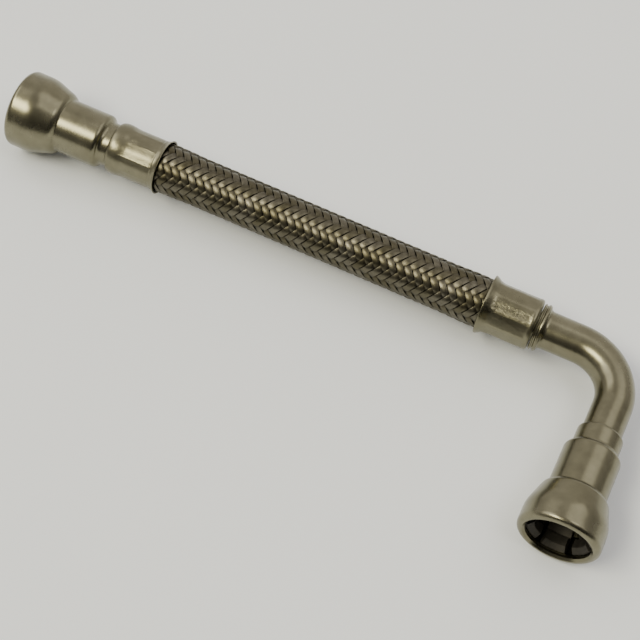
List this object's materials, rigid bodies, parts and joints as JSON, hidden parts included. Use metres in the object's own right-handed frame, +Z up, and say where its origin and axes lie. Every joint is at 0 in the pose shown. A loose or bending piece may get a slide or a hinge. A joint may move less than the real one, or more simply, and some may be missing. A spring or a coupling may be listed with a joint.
{
  "type": "braided supply line",
  "caption": "Short metal-braided pressure hose with a straight push-on coupler at one end and an elbow with a push-on coupler at the other.",
  "frame": {"origin": "centre of the straight coupler's mouth, on its axis", "axes": "+X along the hose from the straight coupler to the elbow, the elbow's mouth opens towards -Y, +Z up"},
  "size_m": [0.235, 0.0807, 0.0266],
  "materials": {
    "plated_steel": "satin plated steel, warm olive-bronze tint",
    "crimped_steel": "satin plated steel with crimp marks and scuffs",
    "braid_wire": "bare wire ribbons, slightly stained",
    "spring_steel": "dark spring steel",
    "seal_rubber": "smooth black rubber",
    "hose_rubber": "black synthetic rubber",
    "ply_textile": "woven textile yarn",
    "spacer_plastic": "off-white plastic"
  },
  "bodies": {
    "straight_end": {"straight_coupler_body": "plated_steel", "straight_front_oring": "seal_rubber", "straight_spacer_ring": "spacer_plastic", "straight_rear_oring": "seal_rubber", "straight_stem": "plated_steel", "straight_ferrule": "crimped_steel", "hose_liner": "hose_rubber", "hose_textile_ply": "ply_textile", "hose_wire_braid": "braid_wire"},
    "straight_collet": {"straight_collet": "spring_steel"},
    "elbow_end": {"elbow_ferrule": "crimped_steel", "elbow_stem": "plated_steel", "elbow_stem_braze": "plated_steel", "elbow_tube": "plated_steel", "elbow_coupler_braze": "plated_steel", "elbow_coupler_body": "plated_steel", "elbow_front_oring": "seal_rubber", "elbow_spacer_ring": "spacer_plastic", "elbow_rear_oring": "seal_rubber"},
    "elbow_collet": {"elbow_collet": "spring_steel"}
  },
  "joints": [
    {"name": "hose_bend", "type": "hinge", "parent": "straight_end", "child": "elbow_end", "pos_m": [0.1132, 0, 0], "axis": [0, 0, 1], "range_deg": [-25, 25], "stiffness_Nm_per_rad": 4, "deforming": ["hose_liner", "hose_textile_ply", "hose_wire_braid"]},
    {"name": "straight_collet_slide", "type": "slide", "parent": "straight_end", "child": "straight_collet", "axis": [1, 0, 0], "range_m": [0, 0.001]},
    {"name": "elbow_collet_slide", "type": "slide", "parent": "elbow_end", "child": "elbow_collet", "axis": [0, 1, 0], "range_m": [0, 0.001]}
  ]
}
